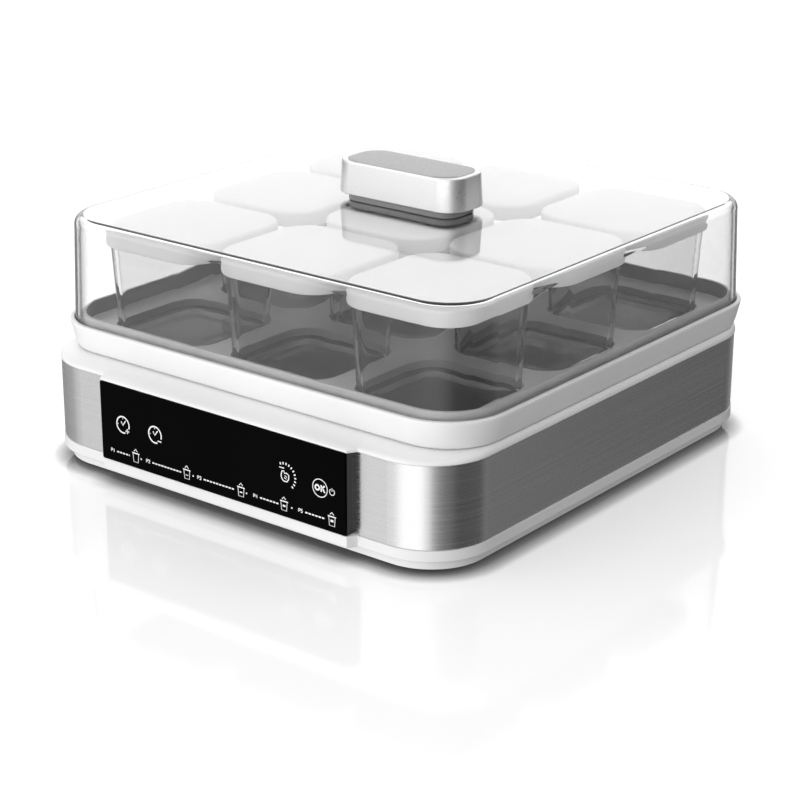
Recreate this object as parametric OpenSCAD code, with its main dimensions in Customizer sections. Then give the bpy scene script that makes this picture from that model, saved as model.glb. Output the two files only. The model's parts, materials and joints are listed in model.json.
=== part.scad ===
// Yogurt maker: a square heated base with nine glass jars under a clear dome.
// Millimetres, +Z up, +X to the right seen from the front, control panel towards -Y.
// The origin is on the table, under the middle of the whole object.

/* [Base] */
// Width of the steel band
body_w = 272.6; // [268:0.2:276]
// Distance from the middle of the jars to the front of the steel band
body_front = 148.4; // [145:0.2:152]
// Distance from the middle of the jars to the back of the steel band
body_back = 137.6; // [136.5:0.2:140]
// Corner radius of the steel band
body_r = 34; // [30:0.5:38]
// Height of the rubber feet below the base
foot_h = 2; // [1:0.5:4]
// Height of the recessed lower tier
tier_h = 5.5; // [4:0.5:8]
// Height of the white strip under the steel band
strip_h = 5.7; // [4:0.1:8]
// Height of the steel band
band_h = 42.8; // [40:0.2:48]
// Thickness of the steel sheet
band_t = 0.8; // [0.5:0.1:1]
// Wall thickness of the plastic mouldings
wall = 2.4; // [2:0.1:2.6]

/* [Collar and dome] */
// Outer width of the rim ring at its top
ring_w = 277; // [276:0.2:280]
// Height of the rim ring
ring_h = 15; // [14:0.5:17]
// How far the rim ring flares out from foot to top
ring_flare = 3.4; // [3:0.1:4]
// Outer width of the dome at its foot
dome_w = 271.6; // [271:0.1:272]
// Height of the dome above its seat
dome_h = 59.6; // [59:0.1:66]
// How far the dome's sides lean in from foot to top
dome_lean = 1.9; // [1:0.1:3]
// Corner radius of the dome at its foot
dome_r = 31; // [30:0.5:33]
// Wall thickness of the dome
dome_t = 2.1; // [2:0.1:2.1]
// Radius along the dome's top edge
dome_edge = 5; // [4:0.5:7]

/* [Jars] */
// Distance between the middles of neighbouring jars
jar_pitch = 81.8; // [80:0.2:82.4]
// Width of a jar at its foot
jar_foot_w = 64.4; // [62:0.2:66]
// Width of a jar at its mouth
jar_top_w = 70.2; // [69:0.2:71]
// Height of a jar without its lid
jar_h = 56.5; // [50:0.5:57]
// Glass thickness of the sides
jar_wall = 3.2; // [2.5:0.1:3.6]
// Glass thickness of the bottom
jar_base = 7; // [4:0.5:9]
// Outer width of a jar lid
lid_w = 74.2; // [74:0.1:75.4]
// Height of a jar lid
lid_h = 9.8; // [9:0.1:11]
// Thickness of a jar lid's top
lid_top = 2.7; // [2:0.1:2.7]

/* [Control panel] */
// Width of the control panel
panel_w = 163.4; // [150:0.2:170]
// How far the panel stands out from the steel band
panel_out = 6; // [5:0.5:9]
// Thickness of the panel's front plate
glass_t = 1.5; // [1:0.1:2]

/* [Handle] */
// Length of the grip
grip_l = 82.5; // [80:0.5:90]
// Depth of the grip
grip_d = 34; // [33.5:0.5:40]
// Height of the grip
grip_h = 18.2; // [16:0.1:20]
// Height of the riser under the grip
riser_h = 4; // [3:0.1:6]
// Length of the riser
riser_l = 72; // [66:0.5:76]
// Depth of the riser
riser_d = 28; // [24:0.5:30]
// Thickness of the clamp plate under the dome's top
clamp_t = 3.4; // [2.5:0.1:3.4]

/* [Hidden] */
$fn = 64;
eps = 0.01;

// Heights, from the table up
z_tier = foot_h;
z_strip = z_tier + tier_h;
z_band = z_strip + strip_h;
z_frame = z_band + band_h;
z_floor = z_tier + wall;
z_ring = z_frame + 4.1;
z_ring_top = z_ring + ring_h;
plate_t = 2;
tray_t = 4.6;
z_seat = z_ring + 4.7;
z_plate = z_seat - plate_t;
z_tray = z_seat + tray_t;
z_upstand = z_ring_top + 2.9;
z_dome = z_ring_top - 4.2;
z_dome_top = z_dome + dome_h;
z_mouth = z_seat + jar_h;
z_lid_top = z_mouth + lid_top;
z_lid_foot = z_lid_top - lid_h;

// Shared corner centres: of the collar and dome, and of a jar
rim_c = dome_w/2 - dome_r;
lid_r = 18.5;
jar_c = lid_w/2 - lid_r;

// The base reaches further forward than back, seen from the middle of the jars
body_d = body_front + body_back;
body_y = (body_back - body_front)/2;
gland_out = 2.5;
row_y = (body_front + panel_out - body_back - gland_out)/2;

// Control panel
panel_z0 = z_band + 0.4;
panel_z1 = z_frame + 0.1;
panel_y = -body_front - panel_out;
brow_y = panel_y + 0.8;
box_x = 75;
box_z0 = z_band + 6.3;
box_z1 = z_frame - 6;
box_y = -body_front + 11.4;
board_y = -body_front + 3;
pcb_t = 1.6;
keys_x = [-65.7, -43, 44.1, 66.2];
key_z = z_band + 23.1;
band_gap = panel_w/2 - 1.9;

// Screw places
base_bosses = [[95, -130], [-95, -130], [126, -5], [-126, -5], [95, 126.5], [-95, 126.5]];
boss_split = 38;
plate_bolt = jar_pitch/2;
plate_bolts = [[1, 1], [-1, 1], [-1, -1], [1, -1]] * plate_bolt;
panel_bolts = [for (sx = [-1, 1], z = [28, 42]) [sx*(panel_w/2 - 3.8), z_band - 13.2 + z]];
handle_bolts = [-22, 22];
feet = [[105, -120], [-105, -120], [105, 108], [-105, 108]];

// Heater and heat shield
run_pitch = jar_pitch/4;
run_count = 10;
run_l = 170;
run_end = (run_count - 1)/2*run_pitch;
cable_r = 1.3;
z_cable = z_plate - cable_r - 0.05;
z_foil = z_cable - cable_r - 0.45;
foil_t = 0.3;
z_shield = z_frame - 5;
shield_c = 104.8;
shield_r = 14.7;
shield_t = 0.6;
plate_r = 21.2;

// Power board
board = [86, 56];
board_at = [12, 42];
z_board = 14.5;
board_bolts = [for (x = [4, board.x - 4], y = [4, board.y - 4]) board_at + [x, y]];
gland_x = 60;
gland_z = 26;
gland_in = 11.6;
gland_r = 3.4;

jar_numbers = [1 : 9];
function jar_at(i) = [((i - 1) % 3 - 1)*jar_pitch, (1 - floor((i - 1)/3))*jar_pitch];

// ---- Shape helpers ----

// Everything is drawn round the middle of the jars, then moved to the object's own origin
module placed() {
    translate([0, row_y, 0]) children();
}

// Rounded rectangle w wide and d deep
module rounded(w, d, r) {
    square([w - 2*r, d], center = true);
    square([w, d - 2*r], center = true);
    for (sx = [-1, 1], sy = [-1, 1]) translate([sx*(w/2 - r), sy*(d/2 - r)]) circle(r);
}

// Upright slab with a rounded outline, from height z0 to z1
module slab(w, d, r, z0, z1) {
    translate([0, 0, z0]) linear_extrude(z1 - z0) rounded(w, d, r);
}

// Slab with the base's outline, grown outwards by grow
module body_slab(grow, z0, z1) {
    translate([0, body_y, 0]) slab(body_w + 2*grow, body_d + 2*grow, body_r + grow, z0, z1);
}

// Slab with the collar's outline, at a distance r from the collar's corner centres
module rim_slab(r, z0, z1) {
    slab(2*(rim_c + r), 2*(rim_c + r), r, z0, z1);
}

// Sweeps a profile round a square whose corner centres are at +-c.
// The profile's x is the distance outwards from the corner centres, and its y is the height.
module swept(c) {
    for (k = [0 : 3]) rotate(90*k) {
        translate([c, 0, 0]) rotate([90, 0, 0]) linear_extrude(2*c, center = true) children();
        translate([c, c, 0]) rotate_extrude(angle = 90) children();
    }
}

// As swept, and filled in the middle between heights z0 and z1
module swept_solid(c, z0, z1) {
    swept(c) children();
    translate([-c, -c, z0]) cube([2*c, 2*c, z1 - z0]);
}

// Wire along a list of points, lapped a little at each bend
module wire(path, r) {
    last = len(path) - 1;
    for (i = [1 : last]) {
        v = path[i] - path[i - 1];
        start = (i > 1) ? 0.6*r : 0;
        end = (i < last) ? 0.6*r : 0;
        translate(path[i - 1]) rotate([0, acos(v.z/norm(v)), atan2(v.y, v.x)])
            translate([0, 0, -start]) cylinder(h = norm(v) + start + end, r = r, $fn = 10);
    }
}

// Front-to-back hole or bar at x, z, from y0 to y1
module along_y(x, z, y0, y1, r) {
    translate([x, y1, z]) rotate([90, 0, 0]) cylinder(h = y1 - y0, r = r);
}

// Block of the panel's width with slanted ends, under the brow and over the chin
module panel_wide(out, z0, z1) {
    back = -body_front + 3;
    half = panel_w/2 + 0.2;
    slant = 3;
    translate([0, 0, z0]) linear_extrude(z1 - z0)
        polygon([[-half - slant, back], [-half - slant, -body_front], [-half, out],
                 [half, out], [half + slant, -body_front], [half + slant, back]]);
}

// ---- Base ----

module base_shell() {
    color("white") placed() difference() {
        union() {
            body_slab(-3.7, z_tier, z_strip);
            body_slab(0.4, z_strip, z_band);
            body_slab(-band_t - 0.2, z_band, z_frame - 0.3);
            panel_wide(brow_y, z_strip, z_band + 0.2);
        }
        difference() {
            union() {
                body_slab(-6.2, z_floor, z_strip + wall);
                body_slab(-band_t - 0.2 - wall, z_strip + wall, z_frame);
            }
            for (p = base_bosses) translate([p.x, p.y, 0]) {
                cylinder(h = 12, r = 6);
                cylinder(h = boss_split, r = 4.5);
            }
            for (p = board_bolts) translate([p.x, p.y, 0]) cylinder(h = z_board, r = 3.5);
        }
        for (p = base_bosses) translate([p.x, p.y, 0]) {
            cylinder(h = 8, r = 3.8);
            cylinder(h = boss_split + 1, r = 1.9);
        }
        for (p = board_bolts) translate([p.x, p.y, 6]) cylinder(h = z_board, r = 1.4);
        for (p = feet) translate([p.x, p.y, 0]) cylinder(h = foot_h + 1.2, r = 8.2);
        for (sx = [-1, 1], k = [-3 : 3]) translate([sx*58 + k*7, -48, 0]) cube([3, 34, 12]);
        translate([-box_x - 1, -body_front, box_z0 - 1]) cube([2*box_x + 2, 8, box_z1 - box_z0 + 2]);
        for (p = panel_bolts) along_y(p.x, p.y, -body_front, -body_front + 8, 1.7);
        along_y(gland_x, gland_z, body_back - 8, body_back + 1, 6.6);
    }
}

module steel_band() {
    color("silver") placed() difference() {
        body_slab(0, z_band + 0.1, z_frame - 0.1);
        body_slab(-band_t, z_band, z_frame);
        translate([-band_gap, -body_front - 1, z_band]) cube([2*band_gap, 6, band_h]);
        along_y(gland_x, gland_z, body_back - 4, body_back + 1, 6.6);
    }
}

module top_frame() {
    shoulder = 29.5;
    opening = 16.2;
    color("white") placed() {
        difference() {
            union() {
                hull() {
                    body_slab(0.4, z_frame, z_frame + 1.6);
                    body_slab(-1, z_frame + 1.6, z_frame + 3);
                    rim_slab(shoulder, z_frame + 3, z_ring);
                }
                intersection() {
                    panel_wide(brow_y, z_frame + 0.3, z_ring);
                    rotate([90, 0, 90]) linear_extrude(panel_w + 10, center = true)
                        polygon([[brow_y, z_frame + 0.3], [brow_y, z_frame + 1.8], [brow_y + 1.4, z_frame + 3],
                                 [-body_front + 3, z_frame + 3.6], [-body_front + 3, z_frame + 0.3]]);
                }
            }
            hull() {
                body_slab(-wall - 0.6, z_frame - 1, z_frame + 0.3);
                rim_slab(shoulder - 3, z_frame, z_ring - wall);
            }
            rim_slab(opening, z_frame, z_ring + 1);
        }
        difference() {
            rim_slab(opening + 2, z_ring - wall, z_plate);
            rim_slab(opening, z_frame, z_plate + 1);
        }
        difference() {
            body_slab(-3.6, z_frame - 8, z_frame + 1.6);
            body_slab(-5.6, z_frame - 9, z_frame + 2);
            translate([-box_x - 3, -body_front - 1, z_frame - 9]) cube([2*box_x + 6, 10, 9.2]);
        }
        for (p = base_bosses) translate([p.x, p.y, 0]) difference() {
            translate([0, 0, boss_split + 0.3]) cylinder(h = z_ring - wall - boss_split, r = 4.5);
            translate([0, 0, boss_split]) cylinder(h = 13, r = 1.8);
        }
    }
}

module rubber_feet() {
    color("dimgray") placed() for (p = feet) translate([p.x, p.y, 0]) cylinder(h = foot_h + 1.2, r = 8);
}

module base_screws() {
    color("gray") placed() for (p = base_bosses) translate([p.x, p.y, 0]) {
        translate([0, 0, 5.6]) cylinder(h = 2.4, r = 3.4);
        translate([0, 0, 8]) cylinder(h = 41, r = 1.75);
    }
}

// ---- Collar, tray and heater ----

module rim_ring() {
    top = ring_w/2 - rim_c;
    foot = top - ring_flare;
    t = 2.2;
    seat = 31.3 + (dome_r - 31);
    mid = foot + ring_flare*(z_dome - 1.8 - z_ring)/ring_h;
    color("white") placed() swept(rim_c)
        polygon([[22, z_ring], [foot - 1.4, z_ring], [foot - 1.4, z_ring + 0.6], [foot + 0.1, z_ring + 0.6],
                 [top, z_ring_top - 0.5], [top - 0.5, z_ring_top], [seat, z_ring_top],
                 [seat, z_dome], [27.3, z_dome], [27.3, z_dome - 1.8], [mid - t, z_dome - 1.8],
                 [foot - t + 0.4, z_ring + 1.9], [22, z_ring + 1.9]]);
}

module jar_tray() {
    edge = 26.7;
    hole = jar_foot_w + 2.4;
    color("gainsboro") placed() difference() {
        rim_slab(edge, z_seat, z_upstand);
        rim_slab(edge - 1.6, z_tray, z_upstand + 1);
        for (i = jar_numbers) translate(jar_at(i)) slab(hole, hole, hole/2 - jar_c, z_seat - 1, z_tray + 1);
    }
}

module heating_plate() {
    color("dimgray") placed() difference() {
        rim_slab(plate_r, z_plate, z_seat);
        for (p = plate_bolts) translate([p.x, p.y, 0]) {
            translate([0, 0, z_plate - 1]) cylinder(h = 4, r = 1.7);
            translate([0, 0, z_seat - 1.6]) cylinder(h = 1.7, r1 = 1.7, r2 = 3.4);
        }
    }
}

module heater_cord() {
    color("firebrick") placed() for (k = [0 : run_count - 1]) {
        y = (k - (run_count - 1)/2)*run_pitch;
        end = (k % 2 == 0) ? 1 : -1;
        translate([-run_l/2, y, z_cable]) rotate([0, 90, 0]) cylinder(h = run_l, r = cable_r);
        if (k < run_count - 1) translate([end*run_l/2, y + run_pitch/2, z_cable]) rotate(end*90 - 180)
            rotate_extrude(angle = 180) translate([run_pitch/2, 0]) circle(cable_r);
    }
}

module heater_foil() {
    side = 2*(shield_c + shield_r) - 12;
    color("lightgray") placed() difference() {
        slab(side, side, 8, z_foil, z_foil + foil_t);
        for (p = plate_bolts) translate([p.x, p.y, z_foil - 1]) cylinder(h = 3, r = 4.3);
        translate([0, 0, z_foil - 1]) cylinder(h = 3, r = 9);
        translate([-plate_bolt, 0, z_foil - 1]) cylinder(h = 3, r = 5);
        for (s = [-1, 1]) translate([-run_l/2 + 1, s*run_end, z_foil - 1]) cylinder(h = 3, r = 1.8);
    }
}

module heat_shield() {
    color("lightsteelblue") placed() difference() {
        slab(2*(shield_c + shield_r), 2*(shield_c + shield_r), shield_r, z_shield, z_ring - wall - 0.3);
        slab(2*(shield_c + shield_r - shield_t), 2*(shield_c + shield_r - shield_t), shield_r - shield_t,
             z_shield + shield_t, z_ring);
        for (p = plate_bolts) translate([p.x, p.y, z_shield - 1]) cylinder(h = 3, r = 1.7);
        translate([0, 0, z_shield - 1]) cylinder(h = 3, r = 6.5);
        translate([-plate_bolt, 0, z_shield - 1]) cylinder(h = 3, r = 3);
        for (s = [-1, 1]) translate([-run_l/2 + 1, s*run_end, z_shield - 1]) cylinder(h = 3, r = 2.5);
    }
}

module shield_spacers() {
    color("tan") placed() for (p = plate_bolts) translate([p.x, p.y, z_shield + shield_t]) difference() {
        cylinder(h = z_plate - z_shield - shield_t, r = 4);
        translate([0, 0, -1]) cylinder(h = z_plate - z_shield + 2, r = 1.7);
    }
}

module plate_screws() {
    color("gray") placed() for (p = plate_bolts) translate([p.x, p.y, 0]) {
        translate([0, 0, z_seat - 1.5]) cylinder(h = 1.5, r1 = 1.5, r2 = 3);
        translate([0, 0, z_shield - 4]) cylinder(h = z_seat - 1.5 - z_shield + 4, r = 1.5);
    }
}

module plate_nuts() {
    color("gray") placed() for (p = plate_bolts) translate([p.x, p.y, z_shield - 2.4]) difference() {
        cylinder(h = 2.4, r = 3.2, $fn = 6);
        translate([0, 0, -1]) cylinder(h = 5, r = 1.55);
    }
}

module thermal_cutout() {
    color("ivory") placed() {
        translate([0, 0, z_plate - 3]) cylinder(h = 3, r = 8.4);
        translate([0, 0, z_plate - 9]) cylinder(h = 6, r = 6.5);
        for (sx = [-1, 1]) translate([sx*3.5 - 0.4, -3, z_plate - 15]) cube([0.8, 6, 6]);
    }
}

module temperature_sensor() {
    color("goldenrod") placed() translate([-plate_bolt, 0, 0]) {
        translate([0, 0, z_plate - 2]) cylinder(h = 2, r = 4.2);
        translate([0, 0, z_plate - 8]) cylinder(h = 6, r = 2.2);
    }
}

// ---- Control panel ----

module panel_housing() {
    deep = board_y + pcb_t + 4;
    color("black") placed() difference() {
        union() {
            translate([-panel_w/2, panel_y + glass_t, panel_z0])
                cube([panel_w, panel_out - glass_t, panel_z1 - panel_z0]);
            translate([-box_x, -body_front - 1, box_z0]) cube([2*box_x, box_y + body_front + 1, box_z1 - box_z0]);
        }
        translate([-box_x + 2, panel_y, box_z0 + 2]) cube([2*box_x - 4, deep - panel_y, box_z1 - box_z0 - 4]);
        translate([-9, box_y - 6, box_z0 + 4]) cube([18, 8, 4]);
        for (p = panel_bolts) along_y(p.x, p.y, -body_front - 3.6, -body_front + 1, 1.45);
    }
}

module panel_glass() {
    color("black") placed() translate([-panel_w/2, panel_y, panel_z0])
        cube([panel_w, glass_t, panel_z1 - panel_z0]);
}

module display_board() {
    color("darkgreen") placed() translate([-box_x + 3, board_y, box_z0 + 3])
        cube([2*box_x - 6, pcb_t, box_z1 - box_z0 - 6]);
}

module display_module() {
    front = panel_y + glass_t + 0.4;
    color("darkslategray") placed() translate([-19, front, key_z - 8]) difference() {
        cube([38, board_y - front, 16]);
        translate([1, -1, 2]) cube([36, 1.4, 12]);
    }
}

module touch_springs() {
    color("goldenrod") placed() for (x = keys_x) difference() {
        along_y(x, key_z, panel_y + glass_t, board_y, 4);
        along_y(x, key_z, panel_y, board_y - 1, 3.2);
    }
}

module buzzer() {
    color("darkslategray") placed() difference() {
        along_y(28, key_z - 3, board_y - 6, board_y, 5.5);
        along_y(28, key_z - 3, board_y - 7, board_y - 2, 1);
    }
}

module ribbon_cable() {
    out = box_y + 3;
    low = z_board + pcb_t + 4;
    color("lightgray") placed() translate([0, 0, 0]) rotate([90, 0, 90]) linear_extrude(15, center = true)
        polygon([[board_y + pcb_t, box_z0 + 5.5], [out + 1, box_z0 + 5.5], [out + 1, low + 1],
                 [board_at.y + 6, low + 1], [board_at.y + 6, z_board + pcb_t], [board_at.y + 5, z_board + pcb_t],
                 [board_at.y + 5, low], [out, low], [out, box_z0 + 4.5], [board_y + pcb_t, box_z0 + 4.5]]);
}

module panel_screws() {
    color("gray") placed() for (p = panel_bolts) {
        along_y(p.x, p.y, -body_front - 3, -body_front + 1 + wall, 1.4);
        along_y(p.x, p.y, -body_front + 1 + wall, -body_front + 3 + wall, 2.8);
    }
}

// ---- Electronics in the base ----

module power_board() {
    color("darkgreen") placed() difference() {
        translate([board_at.x, board_at.y, z_board]) cube([board.x, board.y, pcb_t]);
        for (p = board_bolts) translate([p.x, p.y, 0]) cylinder(h = 30, r = 1.6);
    }
}

// Block on the power board, with its corner at x, y on the board
module on_board(x, y, size) {
    translate([board_at.x + x, board_at.y + y, z_board + pcb_t]) cube(size);
}

module relay() {
    color("black") placed() on_board(60, 8, [15.5, 19, 15.5]);
}

module transformer() {
    color("gold") placed() difference() {
        on_board(24, 20, [26, 22, 19]);
        for (s = [0, 1]) on_board(23, 19 + s*20, [28, 4, 3]);
    }
}

module supply_capacitor() {
    color("navy") placed() translate([board_at.x + 66, board_at.y + 40, z_board + pcb_t])
        cylinder(h = 20, r = 6.3);
}

module terminal_block() {
    color("forestgreen") placed() difference() {
        on_board(36, 47, [18, 8, 11]);
        for (k = [0 : 2]) along_y(board_at.x + 39 + 6*k, z_board + pcb_t + 4, board_at.y + 50, 200, 1.5);
    }
}

module fuse() {
    x = board_at.x + 8;
    y = board_at.y + 14;
    z = z_board + pcb_t;
    color("lightblue") placed() {
        along_y(x, z + 5, y, y + 20, 2.6);
        for (s = [0, 16]) translate([x - 3.2, y + s, z]) cube([6.4, 4, 6]);
    }
}

module board_screws() {
    color("gray") placed() for (p = board_bolts) translate([p.x, p.y, z_board + pcb_t]) {
        cylinder(h = 2, r = 2.8);
        translate([0, 0, -7]) cylinder(h = 7, r = 1.35);
    }
}

module heater_leads() {
    top = z_board + pcb_t;
    tab = z_plate - 15;
    end_x = -run_l/2 + 1;
    color("orangered") placed() {
        wire([[end_x, -run_end, z_cable - cable_r], [end_x, -run_end, 40], [-3.5, 1, 36], [-3.5, 1, tab]], 0.9);
        wire([[3.5, 1, tab], [3.5, 1, 38], [board_at.x + 67, board_at.y + 4, 32], [board_at.x + 67, board_at.y + 4, top]],
             0.9);
        wire([[end_x, run_end, z_cable - cable_r], [end_x, run_end, 34], [board_at.x + 8, board_at.y + 44, 30],
              [board_at.x + 8, board_at.y + 44, top]], 0.9);
        wire([[-plate_bolt, 0, z_plate - 8], [-plate_bolt, 0, 30], [board_at.x + 15, board_at.y + 4, 24],
              [board_at.x + 15, board_at.y + 4, top]], 0.9);
    }
}

module mains_leads() {
    inner = body_back - gland_in - 3;
    color("sienna") placed() for (s = [-1, 1])
        wire([[gland_x + s*1.6, inner, gland_z],
              [board_at.x + 45 + s*6, inner - 12, gland_z - 2],
              [board_at.x + 45 + s*6, board_at.y + 62, z_board + pcb_t + 4],
              [board_at.x + 45 + s*6, board_at.y + 50, z_board + pcb_t + 4]], 1.2);
}

module cord_gland() {
    color("black") placed() difference() {
        union() {
            along_y(gland_x, gland_z, body_back, body_back + gland_out, 9.5);
            along_y(gland_x, gland_z, body_back - gland_in, body_back, 6.4);
            along_y(gland_x, gland_z, body_back - gland_in, body_back - band_t - 0.2 - wall, 8.4);
        }
        along_y(gland_x, gland_z, body_back - 20, body_back + 10, gland_r);
    }
}

// ---- Dome and handle ----

// Side profile of the dome, at its outside (inset 0) or its inside
module dome_profile(inset, z0) {
    foot = dome_r - inset;
    top = foot - dome_lean;
    e = dome_edge - inset;
    z1 = z_dome_top - inset;
    polygon([[0, z0], [foot, z0], [top, z1 - e], [top - e, z1], [0, z1]]);
    translate([top - e, z1 - e]) circle(e);
}

module dome() {
    color("lightcyan", 0.35) placed() difference() {
        swept_solid(rim_c, z_dome, z_dome_top) dome_profile(0, z_dome);
        swept_solid(rim_c, z_dome - 1, z_dome_top - dome_t) dome_profile(dome_t, z_dome - 1);
        for (x = handle_bolts) translate([x, 0, z_dome_top - 10]) cylinder(h = 12, r = 2.2);
    }
}

module handle_riser() {
    color("gray", 0.7) placed() difference() {
        slab(riser_l, riser_d, 9.5, z_dome_top, z_dome_top + riser_h);
        for (x = handle_bolts) translate([x, 0, z_dome_top - 1]) cylinder(h = riser_h + 2, r = 2.2);
    }
}

module handle_retainer() {
    t = clamp_t;
    z = z_dome_top - dome_t - t;
    color("gray", 0.7) placed() difference() {
        slab(riser_l, riser_d, 9.5, z, z + t);
        for (x = handle_bolts) translate([x, 0, z]) {
            translate([0, 0, -0.1]) cylinder(h = 1.7, r1 = 3.6, r2 = 2);
            translate([0, 0, 1]) cylinder(h = t, r = 2);
        }
    }
}

module handle_cap() {
    z = z_dome_top + riser_h;
    r = 12.5;
    lean = 1;
    chamfer = 1.2;
    cx = grip_l/2 - r;
    cy = grip_d/2 - r;
    color("silver") placed() difference() {
        union() {
            for (sx = [-1, 1], sy = [-1, 1]) translate([sx*cx, sy*cy, z]) {
                cylinder(h = grip_h - chamfer, r1 = r, r2 = r - lean);
                translate([0, 0, grip_h - chamfer]) cylinder(h = chamfer, r1 = r - lean, r2 = r - lean - chamfer);
            }
            for (s = [0, 1]) rotate([90, 0, 90*s])
                linear_extrude(2*(s == 0 ? cy : cx), center = true) {
                    h = (s == 0) ? grip_l/2 : grip_d/2;
                    polygon([[-h, z], [h, z], [h - lean, z + grip_h - chamfer], [h - lean - chamfer, z + grip_h],
                             [-h + lean + chamfer, z + grip_h], [-h + lean, z + grip_h - chamfer]]);
                }
        }
        difference() {
            slab(riser_l - 4, riser_d - 4, 7.5, z - 1, z + grip_h - 4);
            for (x = handle_bolts) translate([x, 0, z]) cylinder(h = grip_h, r = 4.5);
        }
        for (x = handle_bolts) translate([x, 0, z - 1]) cylinder(h = 11, r = 1.8);
        slab(grip_l - 10, grip_d - 6, 11, z + grip_h - 0.8, z + grip_h + 1);
    }
}

module handle_inlay() {
    z = z_dome_top + riser_h + grip_h;
    color("darkgray") placed() slab(grip_l - 10.4, grip_d - 6.4, 10.8, z - 0.8, z - 0.1);
}

module handle_screws() {
    z = z_dome_top - dome_t - clamp_t;
    length = dome_t + clamp_t + riser_h + 9;
    color("gray") placed() for (x = handle_bolts) translate([x, 0, z]) {
        cylinder(h = 1.5, r1 = 3.4, r2 = 1.75);
        cylinder(h = length, r = 1.75);
    }
}

// ---- Jars ----

module jar_outside() {
    foot = jar_foot_w/2 - jar_c;
    top = jar_top_w/2 - jar_c;
    heel = 3;
    rim = 1.2;
    polygon([[0, z_seat], [foot - heel, z_seat], [foot, z_seat + heel], [top, z_mouth - rim],
             [top - rim, z_mouth], [0, z_mouth]]);
    translate([foot - heel, z_seat + heel]) circle(heel);
    translate([top - rim, z_mouth - rim]) circle(rim);
}

module jar_inside() {
    foot = jar_foot_w/2 - jar_c - jar_wall;
    top = jar_top_w/2 - jar_c - jar_wall;
    heel = 5;
    z0 = z_seat + jar_base;
    low = foot + (top - foot)*jar_base/jar_h;
    polygon([[0, z0], [low - heel, z0], [low, z0 + heel], [top, z_mouth + 1], [0, z_mouth + 1]]);
    translate([low - heel, z0 + heel]) circle(heel);
}

module jar(i) {
    color("lightcyan", 0.4) placed() translate(jar_at(i)) difference() {
        swept_solid(jar_c, z_seat, z_mouth) jar_outside();
        swept_solid(jar_c, z_seat + jar_base, z_mouth + 1) jar_inside();
    }
}

module jar_lid(i) {
    edge = 2.3;
    skirt = lid_r - 1.3;
    plug = jar_top_w/2 - jar_c - jar_wall - 0.6;
    color("whitesmoke") placed() translate(jar_at(i)) {
        difference() {
            swept_solid(jar_c, z_lid_foot, z_lid_top) {
                polygon([[0, z_lid_foot], [lid_r, z_lid_foot], [lid_r, z_lid_top - edge],
                         [lid_r - edge, z_lid_top], [0, z_lid_top]]);
                translate([lid_r - edge, z_lid_top - edge]) circle(edge);
            }
            slab(2*(jar_c + skirt), 2*(jar_c + skirt), skirt, z_lid_foot - 1, z_mouth);
        }
        difference() {
            slab(2*(jar_c + plug), 2*(jar_c + plug), plug, z_mouth - 3, z_mouth + 1);
            slab(2*(jar_c + plug) - 2.4, 2*(jar_c + plug) - 2.4, plug - 1.2, z_mouth - 4, z_mouth);
        }
    }
}

base_shell();
steel_band();
top_frame();
rim_ring();
jar_tray();
heating_plate();
heater_cord();
heater_foil();
heat_shield();
shield_spacers();
plate_screws();
plate_nuts();
thermal_cutout();
temperature_sensor();
panel_housing();
panel_glass();
display_board();
display_module();
touch_springs();
buzzer();
power_board();
relay();
transformer();
supply_capacitor();
terminal_block();
fuse();
ribbon_cable();
heater_leads();
mains_leads();
cord_gland();
rubber_feet();
base_screws();
board_screws();
panel_screws();
dome();
handle_riser();
handle_cap();
handle_inlay();
handle_retainer();
handle_screws();
for (i = jar_numbers) jar(i);
for (i = jar_numbers) jar_lid(i);
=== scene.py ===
"""Looks of the yogurt maker: clear dome, glass jars, brushed steel band, white collar and touch panel."""
import json
import math

import bmesh
import bpy
from mathutils import Matrix, Vector


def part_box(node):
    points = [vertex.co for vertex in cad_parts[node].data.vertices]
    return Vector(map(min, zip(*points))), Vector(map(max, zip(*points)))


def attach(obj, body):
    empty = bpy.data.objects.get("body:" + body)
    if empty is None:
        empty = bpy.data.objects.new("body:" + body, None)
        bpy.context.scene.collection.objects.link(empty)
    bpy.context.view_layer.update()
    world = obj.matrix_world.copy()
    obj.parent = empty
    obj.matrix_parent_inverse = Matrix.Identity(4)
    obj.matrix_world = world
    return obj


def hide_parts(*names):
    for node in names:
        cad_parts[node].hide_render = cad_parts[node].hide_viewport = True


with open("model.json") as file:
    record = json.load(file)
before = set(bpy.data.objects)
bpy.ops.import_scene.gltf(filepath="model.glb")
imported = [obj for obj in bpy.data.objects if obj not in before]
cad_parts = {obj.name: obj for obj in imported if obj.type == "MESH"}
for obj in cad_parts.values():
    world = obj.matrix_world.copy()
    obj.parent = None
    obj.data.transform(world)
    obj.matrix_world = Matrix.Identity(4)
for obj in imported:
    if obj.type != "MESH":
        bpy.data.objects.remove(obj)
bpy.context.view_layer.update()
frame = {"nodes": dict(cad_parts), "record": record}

MM = 0.001
scene = bpy.context.scene
nodes = frame["nodes"]
slot_of = {part["node"]: part["material_slot"] for part in frame["record"]["subparts"]}

# ---------------------------------------------------------------- camera
AZIMUTH, ELEVATION, ROLL = 38.2, 20.29, 0.149  # degrees, azimuth from the front towards the right
DISTANCE = 1.2006  # m, from the pivot
PIVOT_HEIGHT = 2 * MM  # the pivot is over the middle of the dome's plan
SHIFT_RIGHT, SHIFT_UP = -0.0054, 0.0165  # m, across the view
SENSOR_WIDTH, FOCAL_LENGTH = 36, 97.92  # mm


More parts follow.
